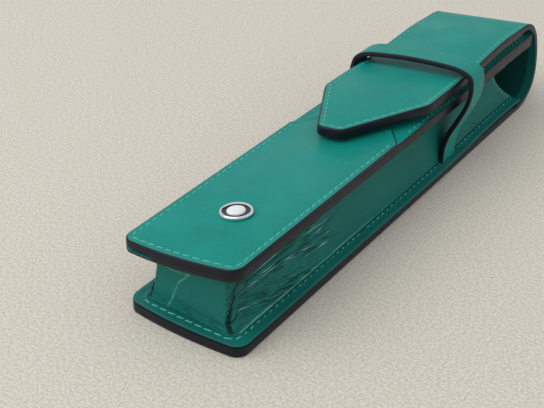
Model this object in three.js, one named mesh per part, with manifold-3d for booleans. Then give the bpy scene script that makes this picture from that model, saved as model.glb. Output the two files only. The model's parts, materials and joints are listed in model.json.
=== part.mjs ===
// A leather pouch for one pen: a boxy body with a soft gusset, closed by a flap whose tongue
// slips under a keeper strap. Millimetres, +Z up, lying on its back panel, mouth end at +Y.
// While it is being laid out, Y counts from the bottom end of the body and X from its centre
// line; the finished group is moved so that the origin is the bottom centre of its outer box.

import * as THREE from 'three';
import { mergeVertices } from 'three/addons/utils/BufferGeometryUtils.js';
import Module from 'manifold-3d';

const wasm = await Module();
wasm.setup();

// Driving dimensions
const PANEL_WIDTH = 32.2;
const BODY_LENGTH = 153.9;       // bottom end to the start of the curl
const CURL_RADIUS = 13.1;        // outer face of the leather where it turns over the mouth
const CURL_SEGMENTS = 10;        // flats in sixty degrees of curl
const GAP = 0.3;                 // glue line or free space left between neighbouring layers

// Layers, from the table up
const HIDE = 1.2;                // outer leather of the long strip: back, curl, flap, tongue
const LINING = 0.7;
const FLANGE = 0.8;              // turned-out edge of the gusset on the back panel
const BOARD = 0.3;
const BOARD_RECESS = BOARD + GAP;
const BACK_LINING_LOW = HIDE + GAP;
const FLANGE_LOW = BACK_LINING_LOW + LINING + GAP;
const WALL_LOW = FLANGE_LOW + FLANGE;
const FRONT_TOP = 22.2;
const OVERLAY = 0.9;
const BASE = 1.0;
const FRONT_LINING = 0.4;
const TOP_FLANGE = 0.6;
const BASE_HIGH = FRONT_TOP - OVERLAY - GAP;
const FRONT_LINING_HIGH = BASE_HIGH - BASE - GAP;
const TOP_FLANGE_HIGH = FRONT_LINING_HIGH - FRONT_LINING - GAP;
const WALL_HIGH = TOP_FLANGE_HIGH - TOP_FLANGE;
const FLAP_TOP = 2 * CURL_RADIUS;
const FLAP_LINING_LOW = FLAP_TOP - HIDE - GAP - LINING;

// Outlines
const CORNER = 3.4;
const FRONT_BULGE = 1.5;         // how far the bottom edge of the front panel bows out
const FRONT_END = 158.3;
const OVERLAY_END = 71.6;        // where the front overlay starts to taper under the tongue
const OVERLAY_TAPER = [5.4, 7.6];
const TONGUE_TIP = 65;
const TONGUE_TIP_HALF = 3.6;
const SHOULDER = 89.2;
const TONGUE_FOLD = 105.5;       // the tongue bends here, just before the strap
const EDGE_MARGIN = 3.6;         // boards stop this far inside the edge, clear of the seams
const STITCH_INSET = 2.4;
const END_STITCH_INSET = 1.2;     // closer to the edge where the end wall stands behind it
const THREAD = [0.5, 0.25];
const THREAD_LIFT = 0.1;

// Gusset
const WALL_HALF = 12.2;          // outer face of the side walls from the centre line
const WALL_END = 2.2;            // outer face of the end wall from the bottom edge
const WALL = 0.8;
const WALL_SKIN = 0.4;
const WALL_CORNER = 2.0;
const WAIST = 1.2;               // how far the walls bow inwards half way up
const FLANGE_END = 155.0;
const MOUTH_WALL_END = 141.8;

// Strap
const STRAP_WIDTH = 8.0;
const STRAP_NEAR = 103.2;        // near edge where it leaves the seam
const STRAP_SLANT = 0.19;        // how far it moves towards the mouth for each mm of height
const STRAP_BOW = 2.6;           // how far its middle bows towards the mouth
const STRAP_LINING = 0.5;
const STRAP_HIDE = 0.9;
const STRAP_SIDE = 2.6;          // free space beside the flap's edges, inside the strap
const STRAP_CLEAR = 1.4;         // free space over the flap
const STRAP_CORNER = 5.5;        // inside radius where it turns over the flap's edges
const STRAP_FOOT = 13.2;

// Emblem
const EMBLEM_AT = [1.2, 21.8];   // across and along
const EMBLEM_RADIUS = 4.1;
const EMBLEM_FACETS = 28;

// The soft body leans: its front panel has slid sideways and one long edge stands higher.
const LEAN_SIDE = -1.45;
const LEAN_TILT = 0.127;
const FLAP_RISE = 0.012;         // the closed flap climbs a little towards the curl

const HALF = PANEL_WIDTH / 2;
const ARC = Math.PI / 3;

function smooth(value) {
  const t = Math.min(Math.max(value, 0), 1);
  return t * t * (3 - 2 * t);
}

// Leans a whole geometry as the soft body leans, from nothing at the back panel.
function lean(geometry) {
  const points = geometry.attributes.position;
  for (let i = 0; i < points.count; i += 1) {
    const [x, y, z] = [points.getX(i), points.getY(i), points.getZ(i)];
    const share = smooth((z - WALL_LOW) / (WALL_HIGH - WALL_LOW));
    const rise = FLAP_RISE * Math.max(y - TONGUE_TIP, 0);
    const lifted = smooth((z - FRONT_TOP) / (FLAP_LINING_LOW - FRONT_TOP));
    points.setX(i, x + LEAN_SIDE * share);
    points.setZ(i, z + LEAN_TILT * x * share + rise * lifted);
  }
  return geometry;
}

function slab(outline, low, thickness, steps = 1) {
  const options = { depth: thickness, bevelEnabled: false, curveSegments: 6, steps };
  return new THREE.ExtrudeGeometry(outline, options).translate(0, 0, low);
}

// A plan outline in Y and Z, extruded across the width.
function across(outline, width) {
  const geometry = new THREE.ExtrudeGeometry(outline, { depth: width, bevelEnabled: false });
  return geometry.rotateZ(Math.PI / 2).rotateY(Math.PI / 2).translate(-width / 2, 0, 0);
}

// The closed outline between two parallels of a line; offsets are to the line's left.
function band(line, near, far) {
  const side = (distance) => line.map((point, i) => {
    const before = line[Math.max(i - 1, 0)];
    const after = line[Math.min(i + 1, line.length - 1)];
    const into = point.clone().sub(before).normalize();
    const out = after.clone().sub(point).normalize();
    const along = into.add(out).normalize();
    const straight = i === 0 ? out : after.equals(point) ? along : out;
    const mitre = distance / Math.max(along.dot(straight), 0.5);
    return new THREE.Vector2(point.x - along.y * mitre, point.y + along.x * mitre);
  });
  return new THREE.Shape([...side(near), ...side(far).reverse()]);
}

function solid(geometry) {
  const loose = geometry.clone();
  loose.deleteAttribute('normal');
  loose.deleteAttribute('uv');
  const merged = mergeVertices(loose, 1e-4);
  const vertProperties = new Float32Array(merged.attributes.position.array);
  const triVerts = new Uint32Array(merged.index.array);
  return new wasm.Manifold(new wasm.Mesh({ numProp: 3, vertProperties, triVerts }));
}

function shaped(body) {
  const mesh = body.getMesh();
  const geometry = new THREE.BufferGeometry();
  geometry.setAttribute('position', new THREE.BufferAttribute(mesh.vertProperties, 3));
  geometry.setIndex(new THREE.BufferAttribute(mesh.triVerts, 1));
  return geometry;
}

function cut(geometry, ...tools) {
  return shaped(tools.reduce((body, tool) => body.subtract(solid(tool)), solid(geometry)));
}

function joined(...pieces) {
  return shaped(pieces.slice(1).reduce((body, piece) => body.add(solid(piece)), solid(pieces[0])));
}

function disc(radius, low, thickness, at) {
  const round = new THREE.CylinderGeometry(radius, radius, thickness, EMBLEM_FACETS);
  return round.rotateX(Math.PI / 2).translate(...at, low + thickness / 2);
}

// A straight-sided panel from the rounded bottom edge up to a square end.
function panel(half, start, end, bulge, corner) {
  const shape = new THREE.Shape();
  shape.moveTo(half, end);
  shape.lineTo(-half, end);
  shape.lineTo(-half, start + corner);
  shape.quadraticCurveTo(-half, start, -half + corner, start - bulge * 0.25);
  shape.quadraticCurveTo(0, start - bulge * 1.75, half - corner, start - bulge * 0.25);
  shape.quadraticCurveTo(half, start, half, start + corner);
  return shape;
}

// The line that a wall or a seam follows: up one side, round the bottom end and back.
function roundEnd(half, start, corner, end) {
  const line = new THREE.Path();
  line.moveTo(half, end);
  line.lineTo(half, start + corner);
  line.absarc(half - corner, start + corner, corner, 0, -Math.PI / 2, true);
  line.lineTo(-half + corner, start);
  line.absarc(-half + corner, start + corner, corner, -Math.PI / 2, -Math.PI, true);
  line.lineTo(-half, end);
  return line.getPoints(4);
}

function thread(line, height) {
  return slab(band(line, -THREAD[0] / 2, THREAD[0] / 2), height + THREAD_LIFT, THREAD[1]);
}

// A straight seam along each long edge.
function sideSeams(name, inset, start, end, height) {
  for (const [side, x] of Object.entries({ left: -inset, right: inset })) {
    const line = [new THREE.Vector2(x, start), new THREE.Vector2(x, end)];
    add(`${name}_stitching_${side}`, thread(line, height), 'thread');
  }
}

// The curl over the mouth, measured from its lowest point, one angle range at a time.
function curlLine(from, to, radius) {
  const count = Math.max(2, Math.round((CURL_SEGMENTS * (to - from)) / ARC));
  const step = (to - from) / count;
  return Array.from({ length: count + 1 }, (_, i) => {
    const angle = from + i * step;
    const out = BODY_LENGTH + radius * Math.sin(angle);
    return new THREE.Vector2(out, CURL_RADIUS - radius * Math.cos(angle));
  });
}

const trim = GAP / 2 / CURL_RADIUS;

function curl(from, to, depth, thickness) {
  const line = curlLine(from, to, CURL_RADIUS - depth);
  return across(band(line, 0, thickness), PANEL_WIDTH);
}

// A flat length of the strip that ends in the first or last thirty degrees of the curl.
function curlEnd(depth, thickness, top) {
  const range = top ? [Math.PI - ARC / 2 + trim, Math.PI] : [0, ARC / 2 - trim];
  return curl(range[0], range[1], depth, thickness);
}

const pouch = new THREE.Group();
const colours = {
  leather: { color: '#2a9485', roughness: 0.45, metalness: 0 },
  gusset: { color: '#1c6a5e', roughness: 0.6, metalness: 0 },
  lining: { color: '#1f5f55', roughness: 0.8, metalness: 0 },
  board: { color: '#8c7a5f', roughness: 0.95, metalness: 0 },
  thread: { color: '#4fc0a4', roughness: 0.7, metalness: 0 },
  metal: { color: '#d8d9dc', roughness: 0.12, metalness: 1 },
  enamel: { color: '#15161a', roughness: 0.15, metalness: 0 },
};

function add(name, geometry, finish) {
  const material = new THREE.MeshStandardMaterial(colours[finish]);
  const mesh = new THREE.Mesh(lean(geometry), material);
  mesh.name = name;
  pouch.add(mesh);
}

function board(name, outline, low) {
  add(name, slab(outline, low, BOARD), 'board');
}

// Back panel: leather, a board let into it, and the pocket lining that runs out to its edges.
function backPanel() {
  const outline = panel(HALF, 0, BODY_LENGTH, 0, CORNER);
  const inner = [HALF - EDGE_MARGIN, EDGE_MARGIN + 3, BODY_LENGTH - EDGE_MARGIN, 0, CORNER];
  const boardOutline = panel(...inner);
  const recessOutline = panel(inner[0] + GAP, inner[1] - GAP, inner[2] + GAP, 0, CORNER);
  const leather = joined(slab(outline, 0, HIDE), curlEnd(0, HIDE, false));
  const recess = slab(recessOutline, HIDE - BOARD_RECESS, BOARD_RECESS + GAP);
  add('back_leather', cut(leather, recess), 'leather');
  board('back_stiffener', boardOutline, HIDE - BOARD);
  const lining = slab(outline, BACK_LINING_LOW, LINING);
  add('back_lining', joined(lining, curlEnd(BACK_LINING_LOW, LINING, false)), 'lining');
  const seam = roundEnd(HALF - STITCH_INSET, END_STITCH_INSET, CORNER, FLANGE_END - 2);
  add('back_stitching', thread(seam, WALL_LOW), 'thread');
}

// The gusset's walls bow inwards between the two panels.
function waist(geometry) {
  const points = geometry.attributes.position;
  for (let i = 0; i < points.count; i += 1) {
    const [x, y, z] = [points.getX(i), points.getY(i), points.getZ(i)];
    const height = (z - WALL_LOW) / (WALL_HIGH - WALL_LOW);
    const pull = WAIST * Math.sin(Math.PI * Math.min(Math.max(height, 0), 1));
    points.setX(i, x * (1 - pull / WALL_HALF));
    points.setY(i, y + pull * (1 - smooth((y - WALL_END) / WALL_HALF)));
  }
  return geometry;
}

// What is cut away beyond the curved edge that the walls have at the mouth.
function mouthCurve(low) {
  const line = [];
  const steps = 8;
  for (let i = 0; i <= steps; i += 1) {
    const height = i / steps;
    const back = (FLANGE_END - MOUTH_WALL_END) * (1 - height) ** 1.6;
    line.push(new THREE.Vector2(MOUTH_WALL_END + back, low + height * (WALL_HIGH - low)));
  }
  const outline = [...line, new THREE.Vector2(MOUTH_WALL_END, WALL_HIGH + TOP_FLANGE * 2),
    new THREE.Vector2(FLANGE_END + 20, WALL_HIGH + TOP_FLANGE * 2),
    new THREE.Vector2(FLANGE_END + 20, low)];
  return across(new THREE.Shape(outline), 2 * WALL_HALF + 1);
}

// Gusset: one strip round both sides and the bottom end, its edges turned outwards.
function gusset() {
  const rows = 6;
  const line = roundEnd(WALL_HALF, WALL_END, WALL_CORNER, FLANGE_END);
  const wall = slab(band(line, 0, -WALL), WALL_LOW, WALL_HIGH - WALL_LOW, rows);
  const inside = slab(panel(WALL_HALF - WALL, WALL_END + WALL, FRONT_END + 5, 0, WALL_CORNER), 0,
    FRONT_TOP);
  const edge = 0.2;
  const low = slab(panel(HALF - edge, edge, FLANGE_END, 0, CORNER), FLANGE_LOW, FLANGE);
  const highOutline = panel(HALF - edge, edge, FLANGE_END, FRONT_BULGE, CORNER);
  const high = slab(highOutline, WALL_HIGH, TOP_FLANGE);
  const flanges = [cut(low, inside), cut(high, inside)];
  const walls = cut(wall, mouthCurve(WALL_LOW));
  add('gusset_leather', waist(joined(walls, ...flanges)), 'gusset');
  const skinLine = band(line, -WALL - GAP, -WALL - GAP - WALL_SKIN);
  const skin = slab(skinLine, WALL_LOW, WALL_HIGH - WALL_LOW, rows);
  add('gusset_lining', waist(cut(skin, mouthCurve(WALL_LOW))), 'lining');
}

function taperedEnd(half, start, end, taper) {
  const [inward, along] = taper;
  return new THREE.Shape([
    new THREE.Vector2(-half, start), new THREE.Vector2(half, start),
    new THREE.Vector2(half, end), new THREE.Vector2(half - inward, end + along),
    new THREE.Vector2(-half + inward, end + along), new THREE.Vector2(-half, end),
  ]);
}

// Front panel: a full-length base, a shorter overlay that carries the emblem, and a lining.
function frontPanel() {
  const baseOutline = panel(HALF, 0, FRONT_END, FRONT_BULGE, CORNER);
  const half = HALF - EDGE_MARGIN;
  const boardOutline = panel(half, EDGE_MARGIN + 3, FRONT_END - EDGE_MARGIN, 0, CORNER);
  const recessOutline = panel(half + GAP, EDGE_MARGIN + 3 - GAP, FRONT_END - EDGE_MARGIN + GAP, 0,
    CORNER);
  const baseLow = BASE_HIGH - BASE;
  const postHole = 1.0;
  const washerRoom = 3.3;
  const base = cut(slab(baseOutline, baseLow, BASE),
    slab(recessOutline, baseLow - GAP, BOARD_RECESS + GAP),
    disc(washerRoom, baseLow - GAP, BASE + 2 * GAP, EMBLEM_AT));
  add('front_base_leather', base, 'leather');
  const boardHole = disc(washerRoom, baseLow - GAP, BOARD + 2 * GAP, EMBLEM_AT);
  add('front_stiffener', cut(slab(boardOutline, baseLow, BOARD), boardHole), 'board');
  add('front_lining', slab(baseOutline, FRONT_LINING_HIGH - FRONT_LINING, FRONT_LINING), 'lining');

  const whole = solid(slab(baseOutline, FRONT_TOP - OVERLAY, OVERLAY));
  const kept = taperedEnd(HALF, -CORNER, OVERLAY_END, OVERLAY_TAPER);
  const trimmed = whole.intersect(solid(slab(kept, FRONT_TOP - 2 * OVERLAY, 3 * OVERLAY)));
  const hole = solid(disc(postHole, FRONT_TOP - 2 * OVERLAY, 3 * OVERLAY, EMBLEM_AT));
  add('front_overlay_leather', shaped(trimmed.subtract(hole)), 'leather');

  const inset = HALF - STITCH_INSET;
  const seam = roundEnd(inset, STITCH_INSET - FRONT_BULGE, CORNER, OVERLAY_END - 1);
  add('front_stitching', thread(seam, FRONT_TOP), 'thread');
  sideSeams('mouth', inset, OVERLAY_END + OVERLAY_TAPER[1], FRONT_END - 3, BASE_HIGH);
}

function turned(profile, at) {
  const points = profile.map(([radius, height]) => new THREE.Vector2(radius, height));
  const round = new THREE.LatheGeometry(points, EMBLEM_FACETS);
  return round.rotateX(Math.PI / 2).translate(...at, 0);
}

// Emblem: a plain metal boss whose post passes through the overlay to a washer behind it.
function emblem() {
  const seat = FRONT_TOP + GAP;
  const cup = 0.35;
  const rim = 0.9;
  const post = 0.7;
  const foot = BASE_HIGH - BASE + 0.2;
  const inner = EMBLEM_RADIUS - 0.7;
  add('emblem_bezel', turned([
    [0, foot], [post, foot], [post, seat], [EMBLEM_RADIUS, seat], [EMBLEM_RADIUS, seat + rim * 0.6],
    [EMBLEM_RADIUS - 0.3, seat + rim], [inner, seat + rim], [inner, seat + cup], [0, seat + cup],
  ], EMBLEM_AT), 'metal');
  const button = inner - GAP;
  const low = seat + cup + GAP;
  add('emblem_dome', turned([
    [0, low], [button, low], [button, low + 0.3], [button * 0.8, low + 0.65],
    [button * 0.45, low + 0.9], [0, low + 1.0],
  ], EMBLEM_AT), 'metal');
  const washer = 2.8;
  const bore = post + GAP;
  const washerLow = BASE_HIGH - BASE + 0.15;
  const thick = 0.5;
  add('emblem_washer', turned([
    [bore, washerLow], [washer, washerLow], [washer, washerLow + thick],
    [bore, washerLow + thick], [bore, washerLow],
  ], EMBLEM_AT), 'metal');
}

// Curl: two lengths of the strip between the back panel and the flap.
function curlLengths() {
  const links = { hinge_lower: 0.5 * ARC, hinge_upper: 1.5 * ARC };
  for (const [name, from] of Object.entries(links)) {
    const range = [from + trim, from + ARC - trim];
    add(`${name}_leather`, curl(range[0], range[1], 0, HIDE), 'leather');
    add(`${name}_lining`, curl(range[0], range[1], BACK_LINING_LOW, LINING), 'lining');
  }
}

function rectangle(half, start, end) {
  return new THREE.Shape([
    new THREE.Vector2(-half, start), new THREE.Vector2(half, start),
    new THREE.Vector2(half, end), new THREE.Vector2(-half, end),
  ]);
}

// Flap: leather, board and lining from the curl to the fold of the tongue.
function flap() {
  const start = TONGUE_FOLD + GAP / 2;
  const outline = rectangle(HALF, start, BODY_LENGTH);
  const leatherLow = FLAP_TOP - HIDE;
  const half = HALF - EDGE_MARGIN;
  const [boardStart, boardEnd] = [start + 2, BODY_LENGTH - EDGE_MARGIN];
  const recess = slab(rectangle(half + GAP, boardStart - GAP, boardEnd + GAP), leatherLow - GAP,
    BOARD_RECESS + GAP);
  const leather = joined(slab(outline, leatherLow, HIDE), curlEnd(0, HIDE, true));
  add('flap_leather', cut(leather, recess), 'leather');
  board('flap_stiffener', rectangle(half, boardStart, boardEnd), leatherLow);
  const lining = slab(outline, FLAP_LINING_LOW, LINING);
  add('flap_lining', joined(lining, curlEnd(BACK_LINING_LOW, LINING, true)), 'lining');
  sideSeams('flap', HALF - STITCH_INSET, start + 0.5, BODY_LENGTH, FLAP_TOP);
}

function tongueLine(inset, end) {
  const half = HALF - inset;
  const tip = TONGUE_TIP_HALF - inset * 0.4;
  const shoulder = SHOULDER + inset * 0.35;
  const round = 1.6;
  const line = new THREE.Path();
  line.moveTo(half, end);
  line.lineTo(half, shoulder + round);
  line.quadraticCurveTo(half, shoulder, half - round * 0.5, shoulder - round);
  line.lineTo(tip + round * 0.5, TONGUE_TIP + inset + round);
  line.quadraticCurveTo(tip, TONGUE_TIP + inset, tip - round, TONGUE_TIP + inset);
  line.lineTo(-tip + round, TONGUE_TIP + inset);
  line.quadraticCurveTo(-tip, TONGUE_TIP + inset, -tip - round * 0.5, TONGUE_TIP + inset + round);
  line.lineTo(-half + round * 0.5, shoulder - round);
  line.quadraticCurveTo(-half, shoulder, -half, shoulder + round);
  line.lineTo(-half, end);
  return line.getPoints(4);
}

// Tongue: the pointed end of the flap, which bends up at the strap.
function tongue() {
  const end = TONGUE_FOLD - GAP / 2;
  const leatherLow = FLAP_TOP - HIDE;
  const outline = new THREE.Shape(tongueLine(0, end).reverse());
  const recess = new THREE.Shape(tongueLine(EDGE_MARGIN - GAP, end - 2 + GAP).reverse());
  const inlay = new THREE.Shape(tongueLine(EDGE_MARGIN, end - 2).reverse());
  const room = slab(recess, leatherLow - GAP, BOARD_RECESS + GAP);
  add('tongue_leather', cut(slab(outline, leatherLow, HIDE), room), 'leather');
  board('tongue_stiffener', inlay, leatherLow);
  add('tongue_lining', slab(outline, FLAP_LINING_LOW, LINING), 'lining');
  add('tongue_stitching', thread(tongueLine(STITCH_INSET, end - 0.5), FLAP_TOP), 'thread');
}

// Strap: a lined loop from seam to seam over the closed flap.
function strapLine() {
  const side = HALF + STRAP_SIDE;
  const top = FLAP_TOP + STRAP_CLEAR;
  const foot = WALL_LOW + THREAD_LIFT + THREAD[1] + GAP;
  const leg = new THREE.CubicBezierCurve(
    new THREE.Vector2(STRAP_FOOT, foot), new THREE.Vector2(STRAP_FOOT, foot + 7),
    new THREE.Vector2(side, foot + 10), new THREE.Vector2(side, top - STRAP_CORNER));
  const centre = [side - STRAP_CORNER, top - STRAP_CORNER];
  const turn = new THREE.EllipseCurve(centre[0], centre[1], STRAP_CORNER, STRAP_CORNER, 0,
    Math.PI / 2);
  const right = [...leg.getPoints(8), ...turn.getPoints(6).slice(1)];
  const left = right.map((point) => new THREE.Vector2(-point.x, point.y)).reverse();
  const spans = 6;
  const middle = Array.from({ length: spans - 1 }, (_, i) => {
    const x = centre[0] * (1 - (2 * (i + 1)) / spans);
    return new THREE.Vector2(x, top);
  });
  return [...right, ...middle, ...left];
}

function strapLayer(depth, thickness) {
  const outline = band(strapLine(), -depth, -depth - thickness);
  const geometry = new THREE.ExtrudeGeometry(outline, { depth: STRAP_WIDTH, bevelEnabled: false });
  geometry.rotateX(Math.PI / 2).translate(0, STRAP_WIDTH + STRAP_NEAR, 0);
  const points = geometry.attributes.position;
  for (let i = 0; i < points.count; i += 1) {
    const height = points.getZ(i) - WALL_LOW;
    const bow = STRAP_BOW * Math.max(1 - (points.getX(i) / HALF) ** 2, 0);
    const share = smooth(height / FRONT_TOP);
    points.setY(i, points.getY(i) + STRAP_SLANT * height + bow * share);
  }
  return geometry;
}

function strap() {
  add('strap_lining', strapLayer(0, STRAP_LINING), 'lining');
  add('strap_leather', strapLayer(STRAP_LINING + GAP, STRAP_HIDE), 'leather');
}

backPanel();
gusset();
frontPanel();
emblem();
curlLengths();
flap();
tongue();
strap();

const box = new THREE.Box3().setFromObject(pouch);
const middle = box.getCenter(new THREE.Vector3());
pouch.position.set(-middle.x, -middle.y, -box.min.z);

export default pouch;
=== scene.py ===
import json
import math

import bmesh
import bpy
from mathutils import Matrix, Vector, noise


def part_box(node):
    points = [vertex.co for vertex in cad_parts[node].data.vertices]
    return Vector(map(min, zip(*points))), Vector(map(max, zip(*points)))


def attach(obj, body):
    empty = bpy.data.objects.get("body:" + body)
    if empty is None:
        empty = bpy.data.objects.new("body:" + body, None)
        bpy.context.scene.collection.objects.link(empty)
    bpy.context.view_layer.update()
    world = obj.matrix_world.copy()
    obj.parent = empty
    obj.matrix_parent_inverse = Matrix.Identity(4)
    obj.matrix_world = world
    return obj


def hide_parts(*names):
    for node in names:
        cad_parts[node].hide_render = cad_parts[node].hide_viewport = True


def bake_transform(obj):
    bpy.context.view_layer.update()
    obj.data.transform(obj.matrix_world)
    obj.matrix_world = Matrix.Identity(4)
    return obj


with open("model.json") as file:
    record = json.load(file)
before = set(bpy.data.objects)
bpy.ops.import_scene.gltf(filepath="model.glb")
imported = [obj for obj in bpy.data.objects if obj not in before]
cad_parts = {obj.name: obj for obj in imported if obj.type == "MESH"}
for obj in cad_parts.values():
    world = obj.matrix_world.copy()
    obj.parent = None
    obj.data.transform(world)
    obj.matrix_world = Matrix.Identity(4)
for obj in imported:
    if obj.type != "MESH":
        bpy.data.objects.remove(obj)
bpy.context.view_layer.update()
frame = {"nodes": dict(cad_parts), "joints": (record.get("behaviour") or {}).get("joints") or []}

joints = {joint["name"]: joint for joint in frame["joints"]}


# ---------------------------------------------------------------------------------------------
# The table, the light and the camera.
# A pale sheet under the pouch, one broad soft light from the upper left, a weaker one in front
# and a long lens that looks down along the pouch from its right-hand side.
# ---------------------------------------------------------------------------------------------
MM = 0.001


def principled(name, colour, roughness, **fixed):
    """A new material with its shader's plain values set; returns it, its tree and its shader."""
    material = bpy.data.materials.new(name)
    material.use_nodes = True
    tree = material.node_tree
    shader = tree.nodes["Principled BSDF"]
    shader.inputs["Base Color"].default_value = (*colour, 1)
    shader.inputs["Roughness"].default_value = roughness
    for socket, value in fixed.items():
        shader.inputs[socket.replace("_", " ")].default_value = value
    return material, tree, shader


def link_new(name, mesh):
    """A new object in the scene, at the origin."""
    piece = bpy.data.objects.new(name, mesh)
    bpy.context.scene.collection.objects.link(piece)
    return piece


def lay_table():
    """A wide pale sheet with a fine grit."""
    floor_half = 4.0
    sheet = bmesh.new()
    bmesh.ops.create_grid(sheet, x_segments=1, y_segments=1, size=floor_half)
    mesh = bpy.data.meshes.new("table")
    sheet.to_mesh(mesh)
    sheet.free()
    table = link_new("table", mesh)
    material, tree, shader = principled("pale_table", (0.66, 0.605, 0.515), 0.9)
    grit = tree.nodes.new("ShaderNodeTexNoise")
    grit.inputs["Scale"].default_value = 1400.0
    grit.inputs["Detail"].default_value = 4.0
    tree.links.new(tree.nodes.new("ShaderNodeTexCoord").outputs["Object"], grit.inputs["Vector"])
    tone = tree.nodes.new("ShaderNodeValToRGB")
    tone.color_ramp.elements[0].position = 0.36
    tone.color_ramp.elements[0].color = (0.58, 0.525, 0.435, 1)
    tone.color_ramp.elements[1].position = 0.62
    tone.color_ramp.elements[1].color = (0.74, 0.69, 0.60, 1)
    tree.links.new(grit.outputs["Fac"], tone.inputs["Fac"])
    tree.links.new(tone.outputs["Color"], shader.inputs["Base Color"])
    table.data.materials.append(material)


def hang_light(name, place, size, power, colour):
    """A soft area light that looks at the middle of the pouch."""
    middle = Vector((0, 0, 0.01))
    light = bpy.data.lights.new(name, "AREA")
    light.shape = "RECTANGLE"
    light.size, light.size_y = size
    light.energy = power
    light.color = colour
    lamp = link_new(name, light)
    lamp.location = place
    lamp.rotation_euler = (middle - Vector(place)).to_track_quat("-Z", "Y").to_euler()


def place_camera():
    """Low and to the right of the bottom end, looking along the pouch with a long lens."""
    lens = bpy.data.cameras.new("camera")
    lens.sensor_width = 36.0
    lens.lens = 79.74
    lens.clip_start = 0.01
    camera = link_new("camera", lens)
    turn = Matrix.Rotation(math.radians(33.05), 4, "Z")
    tilt = Matrix.Rotation(math.radians(90 - 32.2), 4, "X")
    roll = Matrix.Rotation(math.radians(2.13), 4, "Z")
    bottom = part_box("back_leather")[0].y
    place = Matrix.Translation((0.1401, bottom - 0.17605, 0.1774))
    camera.matrix_world = place @ turn @ tilt @ roll
    bpy.context.scene.camera = camera


def light_room():
    """An even room, a broad window light and a cooler light in front."""
    world = bpy.data.worlds.new("room")
    world.use_nodes = True
    background = world.node_tree.nodes["Background"]
    background.inputs["Color"].default_value = (0.93, 0.96, 1.0, 1)
    background.inputs["Strength"].default_value = 0.72
    bpy.context.scene.world = world
    bpy.context.scene.view_settings.view_transform = "Standard"
    hang_light("window", (-0.42, -0.52, 0.9), (1.1, 1.1), 5.0, (1.0, 0.98, 0.94))
    hang_light("front_fill", (-0.6, -0.65, 0.6), (0.4, 0.3), 1.0, (0.74, 0.83, 1.0))


place_camera()
light_room()
lay_table()


# ---------------------------------------------------------------------------------------------
# How the strip of leather lies.
# The back, the curl, the flap and the tongue are one long strip, cut flat and rolled over the
# mouth. Pieces are cut flat in millimetres: X across from the centre line, Y along the strip from
# the bottom end, and Z up from its outer face. The soft body then leans a little to one side.
# ---------------------------------------------------------------------------------------------
back_low, back_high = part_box("back_leather")
middle_fold = Vector(joints["flap_fold_middle"]["pos_m"])
tongue_fold = Vector(joints["tongue_bend"]["pos_m"])
fold_axis = joints["tongue_bend"]["axis"]

CENTRE_X = (back_low.x + back_high.x) / 2
BOTTOM_Y = back_low.y
HALF = (back_high.x - back_low.x) / 2 / MM
CURL = middle_fold.z / MM
LENGTH = (middle_fold.y - BOTTOM_Y) / MM - CURL
ROLLED = LENGTH + math.pi * CURL
LEAN_SIDE = (tongue_fold.x - CENTRE_X) / MM
LEAN_TILT = fold_axis[2] / fold_axis[0]
TIP = (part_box("tongue_leather")[0].y - BOTTOM_Y) / MM
FOLD = (tongue_fold.y - BOTTOM_Y) / MM
FLAP_RISE = (tongue_fold.z / MM - 2 * CURL) / (FOLD - TIP)
FRONT_TOP = 22.2
WALL_LOW = 3.3
WALL_HIGH = 18.4
FLAP_THICK = 2.8

# The body dips under the strap, the right side spreads towards the bottom end, and the flap sags
# towards the curl.
DIP = 0.7
DIP_AT = 118.0
DIP_REACH = 16.0
SPREAD = 1.2
SPREAD_FROM = 95.0
SPREAD_FADE = 45.0
SAG = 0.8
SAG_FROM = 138.0
SAG_FADE = 18.0


def smooth(value):
    t = min(max(value, 0.0), 1.0)
    return t * t * (3 - 2 * t)


def roll_over(point):
    """Where a point of the flat strip lies once the strip is rolled over the mouth."""
    x, along, depth = point
    if along <= LENGTH:
        return Vector((x, along, depth))
    if along >= ROLLED:
        return Vector((x, LENGTH - (along - ROLLED), 2 * CURL - depth))
    angle = (along - LENGTH) / CURL
    reach = CURL - depth
    return Vector((x, LENGTH + reach * math.sin(angle), CURL - reach * math.cos(angle)))


def lean(point):
    """Where a point lies once the soft body has leaned, in metres in the frame."""
    x, y, z = point
    share = smooth((z - WALL_LOW) / (WALL_HIGH - WALL_LOW))
    above_front = 1.4
    lifted = smooth((z - FRONT_TOP) / above_front)
    sag = SAG * smooth((y - SAG_FROM) / SAG_FADE)
    rise = (FLAP_RISE * max(y - TIP, 0) - sag) * lifted
    dip = DIP * math.exp(-((y - DIP_AT) / DIP_REACH) ** 2) * share
    spread = SPREAD * smooth(x / HALF) * (1 - smooth((y - SPREAD_FROM) / SPREAD_FADE))
    settled = Vector((x + spread + LEAN_SIDE * share, y, z + LEAN_TILT * x * share + rise - dip))
    return settled * MM + Vector((CENTRE_X, BOTTOM_Y, 0))


def settle(work, rolled=False):
    """Puts flat work where it lies, rolled over the mouth first if it is part of the strip."""
    for vert in work.verts:
        point = roll_over(vert.co) if rolled else vert.co
        vert.co = lean(point)


def make_piece(name, work, materials, body=None, replaces=(), sharp=40, closed=True):
    """Turns finished work into a piece of the pouch that rides on a body."""
    if closed:
        bmesh.ops.recalc_face_normals(work, faces=work.faces)
    mesh = bpy.data.meshes.new(name)
    work.to_mesh(mesh)
    work.free()
    for material in materials:
        mesh.materials.append(material)
    mesh.shade_smooth()
    mesh.set_sharp_from_angle(angle=math.radians(sharp))
    piece = link_new(name, mesh)
    if body:
        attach(piece, body)
    if replaces:
        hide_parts(*replaces)
    return piece


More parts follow.
